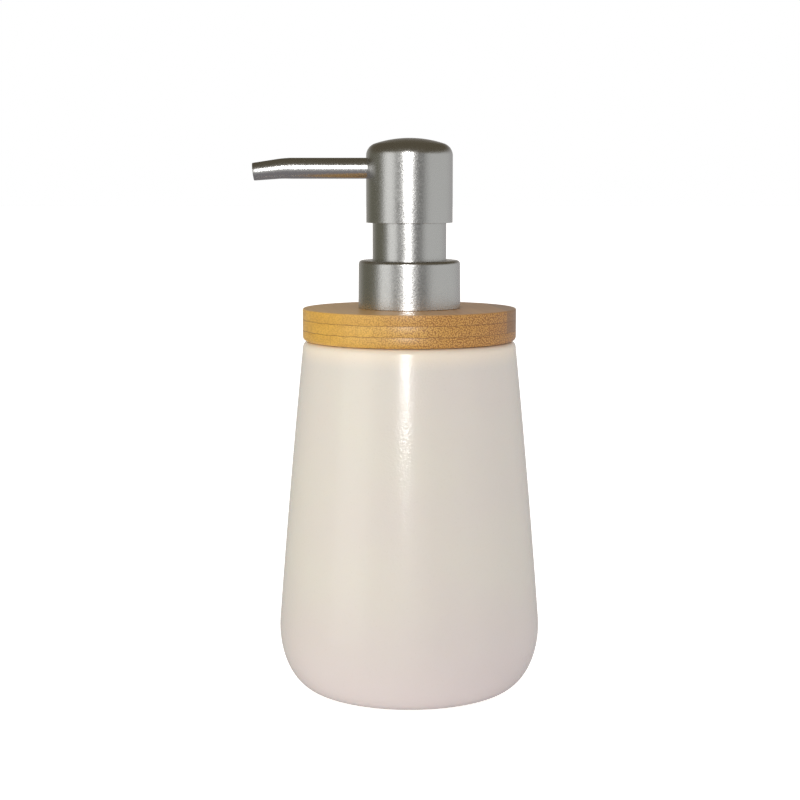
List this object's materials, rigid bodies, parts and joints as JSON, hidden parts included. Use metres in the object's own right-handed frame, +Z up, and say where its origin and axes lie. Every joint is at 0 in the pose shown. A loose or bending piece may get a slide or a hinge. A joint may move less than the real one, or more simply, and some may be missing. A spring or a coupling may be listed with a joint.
{
  "type": "soap pump dispenser",
  "caption": "Tapered ceramic bottle with a laminated bamboo lid and a screw-on steel lotion pump whose head presses and swivels to dispense liquid soap.",
  "frame": {"origin": "centre of the bottle's flat base", "axes": "+Z up along the bottle's and the pump's common axis, -X towards the spout's tip at rest"},
  "size_m": [0.0857, 0.0784, 0.165],
  "materials": {
    "glazed_ceramic": "satin glaze",
    "bamboo": "clear satin lacquer",
    "satin_steel": "fine satin",
    "bright_steel": "bright",
    "white_plastic": "moulded",
    "natural_plastic": "translucent, unpigmented",
    "silicone": "matte"
  },
  "bodies": {
    "bottle": {"bottle": "glazed_ceramic"},
    "lid": {"bamboo_lid": "bamboo", "lid_seal_ring": "silicone", "neck_insert": "white_plastic"},
    "pump": {"pump_housing": "white_plastic", "neck_gasket": "silicone", "lock_ring": "white_plastic", "neck_shell": "satin_steel", "ball_cage": "white_plastic", "pump_spring": "bright_steel", "dip_tube": "natural_plastic"},
    "collar": {"closure": "white_plastic", "collar_shell": "satin_steel"},
    "plunger": {"valve_stem": "white_plastic"},
    "head": {"head_shell": "satin_steel", "head_core": "white_plastic", "spout_tube": "satin_steel", "spout_liner": "white_plastic", "stem": "white_plastic"},
    "piston": {"piston": "natural_plastic"},
    "inlet_ball": {"inlet_ball": "bright_steel"}
  },
  "joints": [
    {"name": "lid_lift", "type": "slide", "parent": "bottle", "child": "lid", "axis": [0, 0, 1], "range_m": [0, 0.105]},
    {"name": "pump_rise", "type": "slide", "parent": "lid", "child": "pump", "axis": [0, 0, 1], "range_m": [0, 0.00529]},
    {"name": "collar_turn", "type": "hinge", "parent": "pump", "child": "collar", "pos_m": [0, 0, 0.122], "axis": [0, 0, 1], "range_deg": [0, 450]},
    {"name": "head_press", "type": "slide", "parent": "pump", "child": "plunger", "axis": [0, 0, -1], "range_m": [0, 0.0108], "stiffness_N_per_m": 800, "springref_m": -0.01, "deforming": ["pump_spring"]},
    {"name": "head_swivel", "type": "hinge", "parent": "plunger", "child": "head", "pos_m": [0, 0, 0.152], "axis": [0, 0, 1], "continuous": true},
    {"name": "piston_slip", "type": "slide", "parent": "plunger", "child": "piston", "axis": [0, 0, 1], "range_m": [0, 0.001]},
    {"name": "ball_lift", "type": "slide", "parent": "pump", "child": "inlet_ball", "axis": [0, 0, 1], "range_m": [0, 0.0015]}
  ],
  "couplings": [
    {"joint": "collar_turn", "follows": "pump_rise", "rad_per_m": 1484.3}
  ]
}
